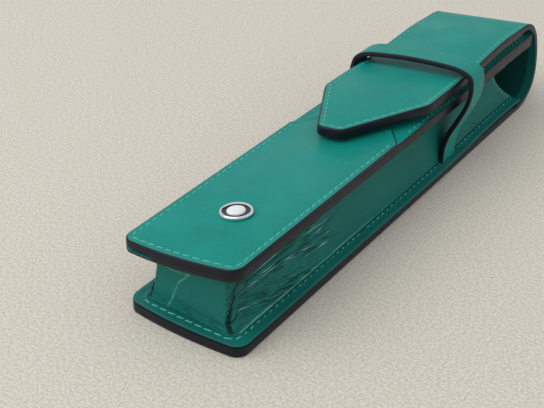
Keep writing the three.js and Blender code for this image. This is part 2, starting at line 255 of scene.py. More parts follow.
# ---------------------------------------------------------------------------------------------
# Leathers, edge coat, thread and board.
# Smooth aniline calf in green. The gusset's softer leather, the lining and the curl's bare facing
# are darker copies of it, painted shade for walls and insides. Black acrylic edge coat built up
# and polished, waxed polyester thread a shade lighter than the leather.
# ---------------------------------------------------------------------------------------------
def new_group(name, inputs, outputs):
    group = bpy.data.node_groups.new(name, "ShaderNodeTree")
    for label, kind, value in inputs:
        socket = group.interface.new_socket(name=label, in_out="INPUT", socket_type=kind)
        socket.default_value = value
    for label, kind in outputs:
        group.interface.new_socket(name=label, in_out="OUTPUT", socket_type=kind)
    return group, group.nodes.new("NodeGroupInput"), group.nodes.new("NodeGroupOutput")


def math_node(tree, operation, first, second):
    node = tree.nodes.new("ShaderNodeMath")
    node.operation = operation
    for socket, value in zip(node.inputs, (first, second)):
        if isinstance(value, (int, float)):
            socket.default_value = value
        else:
            tree.links.new(value, socket)
    return node.outputs[0]


def noise_node(tree, vector, scale, detail=2.0, rough=0.5):
    node = tree.nodes.new("ShaderNodeTexNoise")
    node.inputs["Detail"].default_value = detail
    node.inputs["Roughness"].default_value = rough
    if isinstance(scale, (int, float)):
        node.inputs["Scale"].default_value = scale
    else:
        tree.links.new(scale, node.inputs["Scale"])
    tree.links.new(vector, node.inputs["Vector"])
    return node.outputs["Fac"]


def ramp(tree, value, low, high, to_low=0.0, to_high=1.0):
    """Maps a value from one range onto another, held at both ends."""
    node = tree.nodes.new("ShaderNodeMapRange")
    node.inputs["From Min"].default_value = low
    node.inputs["From Max"].default_value = high
    node.inputs["To Min"].default_value = to_low
    node.inputs["To Max"].default_value = to_high
    tree.links.new(value, node.inputs["Value"])
    return node.outputs["Result"]


def blend_colour(tree, factor, first, second):
    node = tree.nodes.new("ShaderNodeMix")
    node.data_type = "RGBA"
    tree.links.new(factor, node.inputs[0])
    for socket, value in ((node.inputs[6], first), (node.inputs[7], second)):
        if isinstance(value, tuple):
            socket.default_value = (*value, 1)
        else:
            tree.links.new(value, socket)
    return node.outputs[2]


def build_grain():
    """Pores and fine pebble of a dyed skin: a height, and a tone that pools in the pores."""
    group, given, made = new_group(
        "skin_grain",
        [("Vector", "NodeSocketVector", (0, 0, 0)), ("Scale", "NodeSocketFloat", 2200.0)],
        [("Height", "NodeSocketFloat"), ("Tone", "NodeSocketFloat")],
    )
    vector, scale = given.outputs["Vector"], given.outputs["Scale"]
    pebble = group.nodes.new("ShaderNodeTexVoronoi")
    pebble.feature = "SMOOTH_F1"
    group.links.new(vector, pebble.inputs["Vector"])
    group.links.new(scale, pebble.inputs["Scale"])
    fine = noise_node(group, vector, math_node(group, "MULTIPLY", scale, 0.35), 4.0, 0.6)
    rise = math_node(group, "MULTIPLY", pebble.outputs["Distance"], 0.55)
    height = math_node(group, "ADD", rise, fine)
    broad = noise_node(group, vector, 60.0, 3.0, 0.55)
    pooled = math_node(group, "MULTIPLY", height, 0.35)
    tone = math_node(group, "ADD", math_node(group, "MULTIPLY", broad, 0.75), pooled)
    group.links.new(height, made.inputs["Height"])
    group.links.new(tone, made.inputs["Tone"])
    return group


def stretched_noise(group, across, along, many, slow, seed, rough=0.5):
    """A noise that changes quickly across the creases and slowly along them."""
    spot = group.nodes.new("ShaderNodeCombineXYZ")
    group.links.new(math_node(group, "MULTIPLY", across, many), spot.inputs[0])
    group.links.new(math_node(group, "MULTIPLY", along, slow), spot.inputs[1])
    spot.inputs[2].default_value = seed
    return noise_node(group, spot.outputs["Vector"], 1.0, 1.0, rough)


def crease_lines(group, across, along, many, width, seed):
    """Lines of painted shade where a noise crosses its middle, each flanked by wear and painted
    highlight.
    """
    wave = stretched_noise(group, across, along, many, 0.06, seed, rough=0.4)
    sides = []
    for middle in (0.5, 0.5 + width * 1.5):
        away = math_node(group, "ABSOLUTE", math_node(group, "SUBTRACT", wave, middle), 0.0)
        sides.append(ramp(group, away, 0.0, width, 1.0, 0.0))
    return sides


def build_creases():
    """Creases that fan out along the gusset: crests of wear and painted highlight, folds of painted
    shade.
    """
    group, given, made = new_group(
        "fanned_creases",
        [("Fan", "NodeSocketFloat", 0.0), ("Run", "NodeSocketFloat", 0.0),
         ("Amount", "NodeSocketFloat", 0.0)],
        [("Wear_plus_highlight", "NodeSocketFloat"), ("Fold_shade", "NodeSocketFloat"), ("Height", "NodeSocketFloat")],
    )
    across, along = given.outputs["Fan"], given.outputs["Run"]
    painted_shade, wear_and_highlight = crease_lines(group, across, along, 11.0, 0.065, 2.3)
    fine_painted_shade, fine_wear_and_highlight = crease_lines(group, across, along, 22.0, 0.08, 7.1)
    broken = ramp(group, stretched_noise(group, across, along, 5.0, 0.13, 0.0), 0.30, 0.55)
    amount = math_node(group, "MULTIPLY", broken, given.outputs["Amount"])
    both = []
    for bold, thin, most in ((wear_and_highlight, fine_wear_and_highlight, 1.0), (painted_shade, fine_painted_shade, 0.75)):
        line = math_node(group, "MAXIMUM", bold, math_node(group, "MULTIPLY", thin, 0.65))
        both.append(ramp(group, math_node(group, "MULTIPLY", line, amount), 0.2, 0.7, 0.0, most))
    group.links.new(both[0], made.inputs["Wear_plus_highlight"])
    group.links.new(both[1], made.inputs["Fold_shade"])
    group.links.new(math_node(group, "SUBTRACT", both[0], both[1]), made.inputs["Height"])
    return group


grain_group = build_grain()
crease_group = build_creases()


def put_group(tree, group, **values):
    """A shared group in a material, its inputs set to numbers or linked."""
    node = tree.nodes.new("ShaderNodeGroup")
    node.node_tree = group
    for label, value in values.items():
        if isinstance(value, (int, float)):
            node.inputs[label].default_value = value
        else:
            tree.links.new(value, node.inputs[label])
    return node


def object_place(tree):
    return tree.nodes.new("ShaderNodeTexCoord").outputs["Object"]


def mask(tree, name):
    """A value that was stored on the piece's own points."""
    node = tree.nodes.new("ShaderNodeAttribute")
    node.attribute_name = name
    return node.outputs["Fac"]


def bump(tree, shader, height, strength, distance):
    node = tree.nodes.new("ShaderNodeBump")
    node.inputs["Strength"].default_value = strength
    node.inputs["Distance"].default_value = distance
    tree.links.new(height, node.inputs["Height"])
    tree.links.new(node.outputs["Normal"], shader.inputs["Normal"])


def skin(name, dark, light, roughness, grain_scale, relief):
    """A dyed leather with fine grain, uneven dye and a soft uneven polish."""
    material, tree, shader = principled(name, light, roughness, Specular_IOR_Level=0.14)
    place = object_place(tree)
    grain = put_group(tree, grain_group, Vector=place, Scale=grain_scale)
    toned = ramp(tree, grain.outputs["Tone"], 0.35, 0.85)
    tree.links.new(blend_colour(tree, toned, dark, light), shader.inputs["Base Color"])
    polish = noise_node(tree, place, 110.0, 3.0)
    tree.links.new(ramp(tree, polish, 0.3, 0.7, roughness - 0.05, roughness + 0.07),
                   shader.inputs["Roughness"])
    bump(tree, shader, grain.outputs["Height"], 0.35, relief)
    return material


def creased_skin(name, dark, light, wear_and_highlight, painted_shade):
    """The gusset's soft leather: crests pale with wear and painted highlight, painted shade in the
    folds.
    """
    material, tree, shader = principled(name, light, 0.45, Specular_IOR_Level=0.14)
    place = object_place(tree)
    grain = put_group(tree, grain_group, Vector=place, Scale=1700.0)
    toned = ramp(tree, grain.outputs["Tone"], 0.35, 0.85)
    body = blend_colour(tree, toned, dark, light)
    creases = put_group(tree, crease_group, Fan=mask(tree, "fan"), Run=mask(tree, "run"),
                        Amount=mask(tree, "creased"))
    # Painted shade in the folds; the pale crests are part wear and part painted highlight.
    painted_shade_amount = math_node(tree, "MAXIMUM", mask(tree, "painted_shade"), creases.outputs["Fold_shade"])
    wear_and_highlight_strength = math_node(tree, "MAXIMUM", mask(tree, "wear_and_highlight"), creases.outputs["Wear_plus_highlight"])
    shaded = blend_colour(tree, painted_shade_amount, body, painted_shade)
    tree.links.new(blend_colour(tree, wear_and_highlight_strength, shaded, wear_and_highlight), shader.inputs["Base Color"])
    fine = math_node(tree, "MULTIPLY", grain.outputs["Height"], 0.12)
    bump(tree, shader, math_node(tree, "ADD", creases.outputs["Height"], fine), 0.9, 0.0004)
    return material


def edge_coat():
    """Black acrylic edge coat: built up by hand, so its gloss and surface wander a little."""
    material, tree, shader = principled("edge_coat", (0.007, 0.007, 0.011), 0.38,
                                        Specular_IOR_Level=0.28, Specular_Tint=(0.8, 0.84, 1, 1))
    place = object_place(tree)
    waves = noise_node(tree, place, 420.0, 3.0, 0.6)
    tree.links.new(ramp(tree, waves, 0.3, 0.7, 0.32, 0.46), shader.inputs["Roughness"])
    tone = blend_colour(tree, waves, (0.004, 0.005, 0.007), (0.012, 0.011, 0.017))
    tree.links.new(tone, shader.inputs["Base Color"])
    bump(tree, shader, waves, 0.25, 0.00008)
    return material


def waxed_thread():
    """Twisted polyester thread with a little wax."""
    material, tree, shader = principled("waxed_thread", (0.03, 0.38, 0.31), 0.55,
                                        Sheen_Weight=0.15)
    place = object_place(tree)
    twist = tree.nodes.new("ShaderNodeTexWave")
    twist.bands_direction = "DIAGONAL"
    twist.inputs["Scale"].default_value = 900.0
    tree.links.new(place, twist.inputs["Vector"])
    tone = blend_colour(tree, twist.outputs["Fac"], (0.018, 0.33, 0.27), (0.11, 0.58, 0.49))
    tree.links.new(tone, shader.inputs["Base Color"])
    bump(tree, shader, twist.outputs["Fac"], 0.4, 0.00006)
    return material


def grey_board():
    """Pressed board: mottled fibres, dull."""
    material, tree, shader = principled("pressed_board", (0.26, 0.20, 0.13), 0.9)
    fibres = noise_node(tree, object_place(tree), 900.0, 5.0, 0.7)
    tone = blend_colour(tree, fibres, (0.19, 0.145, 0.09), (0.34, 0.27, 0.18))
    tree.links.new(tone, shader.inputs["Base Color"])
    bump(tree, shader, fibres, 0.4, 0.00005)
    return material


def refinish(name, material):
    """A piece that keeps its shape takes a better finish."""
    for place in frame["nodes"][name].material_slots:
        place.material = material


calf = skin("green_calf", (0.004, 0.210, 0.170), (0.006, 0.285, 0.234), 0.40, 2200.0, 0.00007)
# The lining is darkened with painted shade for the inside of the pouch.
lining_skin = skin("green_lining", (0.002, 0.040, 0.034), (0.004, 0.064, 0.054), 0.6, 1500.0,
                   0.00008)
# The gusset's green is a darker copy of the calf, painted shade for its walls.
soft_skin = creased_skin("gusset_skin", (0.006, 0.125, 0.104), (0.010, 0.175, 0.147),
                         # Crease colours: pale for wear with painted highlight, near black for
                         # painted shade.
                         (0.20, 0.60, 0.52), (0.001, 0.020, 0.017))
# The curl's bare facing is a darker copy of the calf: painted shade on a face that meets the light.
shaded_facing = skin("green_facing", (0.003, 0.085, 0.070), (0.005, 0.125, 0.105), 0.6, 1500.0, 0.00008)
coat = edge_coat()
thread = waxed_thread()
# Needle holes are dark blobs of painted shade.
hole_shade = skin("needle_hole", (0.002, 0.050, 0.041), (0.003, 0.080, 0.066), 0.8, 2200.0,
                   0.00003)
board = grey_board()
for part in ("back", "front", "flap", "tongue"):
    refinish(f"{part}_stiffener", board)


# ---------------------------------------------------------------------------------------------
# Back panel: outer leather, board and pocket lining.
# A straight panel with rounded bottom corners, cut in one with the curl. Its layers are glued,
# trimmed flush together and coated black along the edge.
# ---------------------------------------------------------------------------------------------
CORNER = 3.0
HIDE = 1.2
BACK_LINING = 1.3
THIN_LINING = 0.5
STITCH_IN = 1.65
ROUND_STEPS = 3
BULGE = 1.5
BACK_BULGE = 1.2
SEAM_DEPTH = 0.12
LINING_SKIVE = 10.0


def cut_outline(work, points, rounded=(), radius=CORNER):
    """One flat face with that outline; the points whose numbers are in rounded get a radius."""
    verts = [work.verts.new((x, y, 0)) for x, y in points]
    work.faces.new(verts)
    corners = [verts[i] for i in rounded]
    if corners:
        bmesh.ops.bevel(work, geom=corners, affect="VERTICES", offset=radius, segments=7,
                        profile=0.5, material=-1)


def rim_edges(work, height, kept=None):
    """The outline's edges at that height, apart from those at ends that butt onto another."""
    edges = []
    for edge in work.edges:
        level = all(abs(vert.co.z - height) < 1e-5 for vert in edge.verts)
        if level and len(edge.link_faces) == 2:
            upright = any(abs(face.normal.z) < 0.1 for face in edge.link_faces)
            if upright and (kept is None or kept(edge)):
                edges.append(edge)
    return edges


def thicken(work, low, high, rounds, kept=None):
    """Extrudes the flat outline from low to high and rounds the rims named in rounds."""
    for vert in work.verts:
        vert.co.z = low
    grown = bmesh.ops.extrude_face_region(work, geom=work.faces[:])
    raised = [item for item in grown["geom"] if isinstance(item, bmesh.types.BMVert)]
    bmesh.ops.translate(work, verts=raised, vec=(0, 0, high - low))
    bmesh.ops.recalc_face_normals(work, faces=work.faces)
    for height, radius in rounds.items():
        edges = rim_edges(work, height, kept)
        bmesh.ops.bevel(work, geom=edges, affect="EDGES", offset=radius, segments=ROUND_STEPS,
                        profile=0.5, material=-1)


def paint_rims(work):
    """Flat faces are leather, everything at the rim is edge coat."""
    flat = 0.999
    work.normal_update()
    for face in work.faces:
        face.material_index = 0 if abs(face.normal.z) > flat else 1


def cut_across(work, places):
    """Cuts lines across a flat length, so that it can bend there."""
    for place in places:
        bmesh.ops.bisect_plane(work, geom=work.verts[:] + work.edges[:] + work.faces[:],
                               plane_co=(0, place, 0), plane_no=(0, 1, 0))


def every(step, start, end):
    """Evenly spaced places between two others, about a step apart."""
    count = int((end - start) / step)
    return [start + (end - start) * i / (count + 1) for i in range(1, count + 1)]


def taper(work, height, thin, start, end):
    """Brings the face at that height down to thin between two places along a length."""
    for vert in work.verts:
        if abs(vert.co.z - height) < 1e-4:
            vert.co.z += (thin - height) * smooth((vert.co.y - start) / (end - start))


def seam_channel(work, height, up):
    """Presses the line of the seam into the face at that height and crowns what it encloses."""
    faces = [f for f in work.faces if f.normal.z * up > 0.99 and
             abs(f.calc_center_median().z - height) < 1e-4]
    side, edge = 0.4, 0.15
    flat = STITCH_IN - edge - side
    steps = ((edge, 0.0), (flat, 0.0), (side, -SEAM_DEPTH), (side, SEAM_DEPTH))
    for width, move in steps:
        bmesh.ops.inset_region(work, faces=faces, thickness=width, depth=move,
                               use_even_offset=True)


def panel_points(half, start, end):
    """The four corners of a straight panel; the first and last are at its bottom end."""
    return [(half, start), (half, end), (-half, end), (-half, start)]


def bow_at(spot, bulge):
    """How far the bottom edge bows out there."""
    return bulge * max(1 - (spot.x / HALF) ** 2, 0) * (1 - smooth(spot.y / 6))


def bow_end(work, bulge):
    """Subdivides the bottom edge and bows it out."""
    edges = [e for e in work.edges if all(v.co.y < 0.01 for v in e.verts)]
    bmesh.ops.subdivide_edges(work, edges=edges, cuts=14)
    for vert in work.verts:
        vert.co.y -= bow_at(vert.co, bulge)


def panel_layer(points, rounded, bulge, low, high, rounds, kept=None):
    """One layer of a panel, cut flat, bowed at its bottom edge and given its thickness."""
    work = bmesh.new()
    cut_outline(work, points, rounded)
    bow_end(work, bulge)
    thicken(work, low, high, rounds, kept)
    paint_rims(work)
    return work


def build_back():
    outline = panel_points(HALF, 0, LENGTH)
    free_rim = lambda edge: any(vert.co.y < LENGTH - 0.01 for vert in edge.verts)
    leather = panel_layer(outline, (0, 3), BACK_BULGE, 0, HIDE, {0: 0.5}, free_rim)
    settle(leather)
    make_piece("back_leather", leather, [calf, coat], "pouch", ["back_leather"])
    inner = panel_layer(outline, (0, 3), BACK_BULGE, HIDE, HIDE + BACK_LINING, {})
    skived = LENGTH - LINING_SKIVE
    cut_across(inner, every(1.5, skived, LENGTH))
    taper(inner, HIDE + BACK_LINING, HIDE + THIN_LINING, skived, LENGTH)
    settle(inner)
    make_piece("back_lining", inner, [lining_skin, coat], "pouch", ["back_lining"])


build_back()


# ---------------------------------------------------------------------------------------------
# Gusset: one strip of soft leather round both sides and the bottom end, with a lining.
# Its edges are turned outwards and sewn to the panels. The walls are pinched in at the waist,
# most at the bottom end, and creases fan out from the bottom corners where it was squeezed.
# Crease crests are painted pale, part wear and part highlight; their folds get painted shade.
# ---------------------------------------------------------------------------------------------
WALL_HALF = 12.9
WALL_END = 1.4
FOOT_CORNER = 3.2
TOP_CORNER = 1.6
SIDE_WAIST = 1.5
END_WAIST = 1.9
PINCH = 5.6
END_SET_BACK = 1.1
CREASE_TOP = 10.3
CREASES_FADE_FROM = 22.0
CREASES_FADE = 45.0
CROWDED = ((-0.12, 0.28), (0.36, 0.12), (0.95, 0.16))
FRONT_LOW = 18.9
MOUTH_DROP = 1.5
FLANGE_REST = LENGTH + 1.5
MOUTH_REST = 141.8
HEM = 1.8
# Masks on the gusset's points: wear with painted highlight, painted shade, fan, run and creasing.
MASKS = ("wear_and_highlight", "painted_shade", "fan", "run", "creased")
SCUFF = ((-6.4, 16.6), (-3.8, 15.2), (0.3, 14.8), (1.8, 15.3), (-2.3, 11.7), (-3.7, 8.9),
         (-5.0, 5.7), (-6.2, 3.6))


def round_line(place, half, end, corner, far):
    """A point of the U-shaped line; place runs 0 to 5 over side, corner, end, corner, side."""
    stretch = min(int(place), 4)
    t = place - stretch
    straight = end + corner
    if stretch == 0:
        return Vector((half, far + (straight - far) * t))
    if stretch == 4:
        return Vector((-half, straight + (far - straight) * t))
    if stretch == 2:
        return Vector((half - corner - 2 * (half - corner) * t, end))
    angle = t * math.pi / 2
    if stretch == 1:
        return Vector((half - corner + corner * math.cos(angle), straight - corner * math.sin(angle)))
    return Vector((-half + corner - corner * math.sin(angle), straight - corner * math.cos(angle)))


def outward(place):
    """Which way the wall faces in the plan."""
    turn = (min(max(place - 1, 0), 1) + min(max(place - 3, 0), 1)) * math.pi / 2
    return Vector((math.cos(turn), -math.sin(turn)))


def gusset_places(side_cuts, corner_cuts, end_cuts):
    """Where the columns of the gusset's mesh stand: close together near the bottom corners."""
    side = [0.35 * i / side_cuts + 0.65 * (i / side_cuts) ** 2 for i in range(side_cuts + 1)]
    places = [1 - share for share in reversed(side)]
    places += [1 + i / corner_cuts for i in range(1, corner_cuts + 1)]
    places += [2 + i / end_cuts for i in range(1, end_cuts + 1)]
    places += [3 + i / corner_cuts for i in range(1, corner_cuts + 1)]
    return places + [4 + share for share in side[1:]]


def far_end(height):
    """How far along the pouch the gusset's wall reaches at that height, 0 at the back panel."""
    return MOUTH_REST + (FLANGE_REST - MOUTH_REST) * (1 - height) ** 1.6


def front_low(along):
    """The front panel's lower face: the panel is thicker towards the mouth."""
    return FRONT_LOW - MOUTH_DROP * smooth((along - 95) / 50)


def to_line(spot, start, end):
    """How far a spot is from a straight line between two others."""
    span = end - start
    share = min(max((spot - start).dot(span) / span.length_squared, 0), 1)
    return (spot - start - span * share).length


def fan_place(run, up):
    """Which crease of the fan a spot lies on, and how thickly creases crowd there."""
    root = 5.0
    breadth_there = 5.3 + 0.24 * max(run - root, 0)
    lifted = up * (1 + 1.5 * max(1 - run / root, 0) ** 2)
    fan = (CREASE_TOP - lifted) / breadth_there
    crowd = 0.4
    for middle, breadth in CROWDED:
        crowd += math.exp(-((fan - middle) / breadth) ** 2)
    return fan, min(crowd, 1) * (1 - smooth((run - CREASES_FADE_FROM) / CREASES_FADE))


def base_fold(run, up):
    """The sharp fold that climbs from the bottom corner before the creases fan out."""
    start, curve, breadth = 1.2, 0.036, 0.4
    away = abs(run - start - curve * up ** 2)
    return smooth(1.3 - away / breadth) * (1 - smooth((up - 8) / 3))


def end_creases(x, up):
    """The end wall: wrinkles low down that get painted shade, and one crease that has worn pale."""
    low = 1 - smooth((up - 1) / 4)
    wave = noise.noise(Vector((x * 0.13, up * 1.1, 21)))
    ripple = max(1 - abs(wave) * 6, 0) * low
    spot = Vector((x, up + WALL_LOW))
    points = [Vector(point) for point in SCUFF]
    away = min(to_line(spot, a, b) for a, b in zip(points, points[1:]))
    wander = 0.22 * noise.noise(Vector((x * 1.7, up * 1.7, 4)))
    wear_and_highlight_strength = 0.6 + 0.5 * noise.noise(Vector((x * 0.9, up * 0.9, 11)))
    wear_and_highlight = max(1 - (away + wander) / 0.24, 0) * min(max(wear_and_highlight_strength, 0), 1)
    # The ripple's darkening is painted shade; the pale crease is wear.
    return 0.15 * wear_and_highlight - 0.14 * ripple, 0.8 * wear_and_highlight, 0.5 * ripple


def crumple(place, x, y, height):
    """How far the soft leather stands out in millimetres, and its masks for the material."""
    up = height * (FRONT_LOW - WALL_LOW)
    sewn = 0.05
    held = smooth(height / sewn) * smooth((1 - height) / sewn)
    ending = smooth((place - 1.75) / 0.25) * smooth((3.25 - place) / 0.25)
    run = max(y - WALL_END, 0)
    fan, creased = fan_place(run, up)
    fold = base_fold(run, up) * (1 - ending) * held
    swell = 0.3 * noise.noise(Vector((fan, run * 0.04, 1 if place < 2.5 else 2)))
    out, wear_and_highlight, painted_shade = end_creases(x, up)
    # The corner fold and the low wrinkles are darkened with painted shade.
    masks = {"wear_and_highlight": wear_and_highlight * ending * held, "painted_shade": max(painted_shade * ending * held, fold),
             "fan": fan, "run": run, "creased": creased * (1 - ending) * held}
    return held * (out * ending + swell * (1 - ending)) - 0.5 * fold, masks


def wall_line(place, height, inset):
    """The plan of the wall at that height: waisted, and pinched sideways at the bottom end."""
    foot = FOOT_CORNER if place < 2.5 else TOP_CORNER
    corner = foot + (TOP_CORNER - foot) * smooth(height * 2)
    line = round_line(place, WALL_HALF - inset, WALL_END + inset, corner, far_end(height))
    at_end = 1 - smooth((line.y - WALL_END) / 6)
    line.y += END_SET_BACK * (1 - smooth(line.x / HALF)) * (1 - smooth(height * 3)) * at_end
    waist = math.sin(math.pi * height)
    line.x *= 1 - waist * SIDE_WAIST / WALL_HALF
    line.y += waist * END_WAIST * (1 - smooth((line.y - WALL_END) / WALL_HALF))
    near = 1 - smooth((line.y - 6) / 60)
    leftward = smooth(0.5 - line.x / (2 * WALL_HALF))
    line.x += PINCH * height ** 2 * near * leftward
    return line


def shape_gusset(place, part, t, inset):
    """A point of the gusset, with the masks its material needs there."""
    height = {"low": 0.0, "wall": t, "high": 1.0}[part]
    line = wall_line(place, height, inset)
    z = WALL_LOW + (front_low(line.y) - WALL_LOW) * height
    if part == "wall":
        out, masks = crumple(place, line.x, line.y, height)
        hem = smooth((line.y - far_end(height) + HEM) / 0.3) if abs(place - 2.5) > 1 else 0
        spot = line + outward(place) * (out + 0.15 * hem)
        wander = 0.012 * noise.noise(Vector((line.y * 0.15, place, 3)))
        # A pale line of painted highlight along the foot of the side walls.
        painted_foot_highlight = 0.8 * max(1 - abs(height - 0.035 - wander) / 0.022, 0)
        painted_foot_highlight *= smooth((abs(place - 2.5) - 1.3) / 0.2) * (1 - smooth((line.y - 30) / 60))
        # The hem's pale rim is painted highlight too; both go in with the wear.
        masks["wear_and_highlight"] = max(masks["wear_and_highlight"], 0.22 * hem, painted_foot_highlight)
        return Vector((spot.x, spot.y, z)), masks
    trim = 0.08
    rim = round_line(place, HALF - trim, trim, CORNER, far_end(height))
    rim.y -= bow_at(rim, BACK_BULGE if part == "low" else BULGE)
    reach = t if part == "low" else 1 - t
    flat = rim.lerp(line, reach)
    fillet = 0.4 * smooth((reach - 0.85) / 0.15)
    z += fillet if part == "low" else -fillet
    return Vector((flat.x, flat.y, z)), {}


def gusset_sheet(name, places, wall_rows, flange_rows, inset, thick, materials):
    """A sheet of the gusset, given its thickness inwards."""
    edge = [i / flange_rows for i in range(flange_rows + 1)] if flange_rows else []
    inner = range(1, wall_rows) if flange_rows else range(wall_rows + 1)
    profile = [("low", t) for t in edge]
    profile += [("wall", i / wall_rows) for i in inner]
    profile += [("high", t) for t in edge]
    work = bmesh.new()
    layers = {label: work.verts.layers.float.new(label) for label in MASKS}
    bmesh.ops.create_grid(work, x_segments=len(places) - 1, y_segments=len(profile) - 1, size=0.5)
    for vert in work.verts:
        column = round((vert.co.x + 0.5) * (len(places) - 1))
        row = round((vert.co.y + 0.5) * (len(profile) - 1))
        vert.co, masks = shape_gusset(places[column], *profile[row], inset)
        for label, layer in layers.items():
            vert[layer] = masks.get(label, 0.0)
    work.normal_update()
    nearest = min(work.faces, key=lambda face: abs(face.calc_center_median().z - 10) +
                  abs(face.calc_center_median().x))
    if nearest.normal.y > 0:
        bmesh.ops.reverse_faces(work, faces=work.faces)
    settle(work)
    piece = make_piece(name, work, materials, "pouch", [name], sharp=180, closed=False)
    wall = piece.modifiers.new("skin thickness", "SOLIDIFY")
    wall.thickness = thick * MM
    wall.offset = -1
    wall.material_offset_rim = 1


def build_gusset():
    gusset_sheet("gusset_leather", gusset_places(110, 16, 72), 72, 4, 0.0, 0.5,
                 [soft_skin, coat])
    gusset_sheet("gusset_lining", gusset_places(50, 6, 20), 16, 0, 0.9, 0.35,
                 [lining_skin, lining_skin])


build_gusset()


# ---------------------------------------------------------------------------------------------
# Front panel: base leather, overlay and lining.
# The base runs to the mouth; the overlay ends under the tongue with tapered corners. The bottom
# edge bows out a little. The lining stops short of the edge at one squashed bottom corner.
# ---------------------------------------------------------------------------------------------
OVERLAY = 0.6
BASE = 1.3
BASE_HIGH = FRONT_TOP - OVERLAY
FRONT_END = (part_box("front_base_leather")[1].y - BOTTOM_Y) / MM + 2.4
OVERLAY_END = 71.6
TAPER = (5.4, 7.6)
DIP_CUTS = every(4, 80, 152)


def build_base():
    base = panel_layer(panel_points(HALF, 0, FRONT_END), (0, 3), BULGE, BASE_HIGH - BASE,
                       BASE_HIGH, {BASE_HIGH: 0.4})
    seam_channel(base, BASE_HIGH, 1)
    cut_across(base, DIP_CUTS)
    settle(base)
    make_piece("front_base_leather", base, [calf, coat], "pouch", ["front_base_leather"])


def build_front_lining():
    set_back = 3.0
    points = panel_points(HALF - 0.05, 0, FRONT_END)
    points[3:] = [(-HALF + 0.05, 9), (-HALF + set_back, 5), (-HALF + 3.2 * set_back, 0)]
    rim = 0.45
    inner = panel_layer(points, (0,), BULGE, FRONT_LOW, BASE_HIGH - BASE, {FRONT_LOW: rim})
    cut_across(inner, DIP_CUTS)
    for vert in inner.verts:
        if vert.co.z < FRONT_LOW + rim + 0.15:
            vert.co.z += front_low(vert.co.y) - FRONT_LOW
    settle(inner)
    make_piece("front_lining", inner, [lining_skin, coat], "pouch", ["front_lining"])


def build_overlay():
    inward, along = TAPER
    points = [(HALF, 0), (HALF, OVERLAY_END), (HALF - inward, OVERLAY_END + along),
              (-HALF + inward, OVERLAY_END + along), (-HALF, OVERLAY_END), (-HALF, 0)]
    over = panel_layer(points, (0, 5), BULGE, BASE_HIGH, FRONT_TOP, {FRONT_TOP: 0.4})
    seam_channel(over, FRONT_TOP, 1)
    settle(over)
    make_piece("front_overlay_leather", over, [calf, coat], "pouch", ["front_overlay_leather"])


build_base()
build_front_lining()
build_overlay()


# ---------------------------------------------------------------------------------------------
# Curl, flap and tongue: the rest of the long strip, leather outside and lining inside.
# In the curl the lining is cut short of a bare border. The curl is made in three lengths, cut
# across into narrow bands; the tongue is cut across where it comes out of the strap.
# The bare border is a darker copy of the calf, painted shade.
# ---------------------------------------------------------------------------------------------
CURL_CUTS = 16
CURL_STEP = math.pi * CURL / 3
HIDDEN_BUTT = FOLD + 6.0
CUT_SHORT = 2.6
FLAP_SKIVE = 4.0


def strip_length(name, start, end, low, high, rounds, materials, nodes, step, body=None,
                 channel=False, half=HALF, thin=None):
    """A straight length of the strip between two places along it, cut flat and rolled."""
    work = bmesh.new()
    cut_outline(work, panel_points(half, start, end))
    side_only = lambda edge: abs(edge.verts[0].co.x - edge.verts[1].co.x) < 1e-4
    thicken(work, low, high, rounds, kept=side_only)
    paint_rims(work)
    if len(materials) > 2:
        for face in work.faces:
            if face.normal.z > 0.99:
                face.material_index = 2
    if channel:
        dent_sides(work, low)
    cut_across(work, every(step, start, end))
    if thin:
        for vert in work.verts:
            fade = 1 - smooth((vert.co.y - start) / FLAP_SKIVE)
            vert.co.z -= (high - thin) * fade * smooth((vert.co.z - low) / (high - low))
    settle(work, rolled=True)
    return make_piece(name, work, materials, body, nodes)


def dent_sides(work, height):
    """Cuts lines beside both side seams into a straight length and presses the middle one in."""
    for side in (-1, 1):
        for offset in (-0.4, 0, 0.4):
            x = side * (HALF - STITCH_IN + offset)
            bmesh.ops.bisect_plane(work, geom=work.verts[:] + work.edges[:] + work.faces[:],
                                   plane_co=(x, 0, 0), plane_no=(1, 0, 0))
    for vert in work.verts:
        on_seam = abs(abs(vert.co.x) - (HALF - STITCH_IN)) < 0.01
        if on_seam and abs(vert.co.z - height) < 1e-4:
            vert.co.z += SEAM_DEPTH


def build_curl():
    doubled = HIDE + THIN_LINING
    inner_skin = doubled + 0.3
    kinds = (("leather", 0, doubled, {0: 0.5}, [calf, coat, shaded_facing], "smooth_leather", HALF),
             ("lining", doubled, inner_skin, {}, [lining_skin, lining_skin], "lining",
              HALF - CUT_SHORT))
    for i in range(3):
        start = LENGTH + i * CURL_STEP
        end = start + CURL_STEP
        replaced = {0: "hinge_lower", 1: "hinge_upper"}.get(i)
        for kind, low, high, rounds, finishes, slot, half in kinds:
            nodes = [f"{replaced}_{kind}"] if replaced else []
            piece = strip_length(f"curl_{kind}_{i + 1}", start, end, low, high, rounds, finishes,
                                 nodes, CURL_STEP / CURL_CUTS, half=half,
                                 channel=kind == "leather")
            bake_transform(piece)


def tongue_points(end):
    """The tongue's outline on the flat strip: straight sides, two shoulders and a blunt tip."""
    half_tip = 3.6
    shoulder = ROLLED + LENGTH - 89.2
    tip = ROLLED + LENGTH - TIP
    return [(HALF, end), (-HALF, end), (-HALF, shoulder), (-half_tip, tip), (half_tip, tip),
            (HALF, shoulder)]


def bend_tongue(piece):
    """Bakes a piece's placement into its mesh."""
    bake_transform(piece)


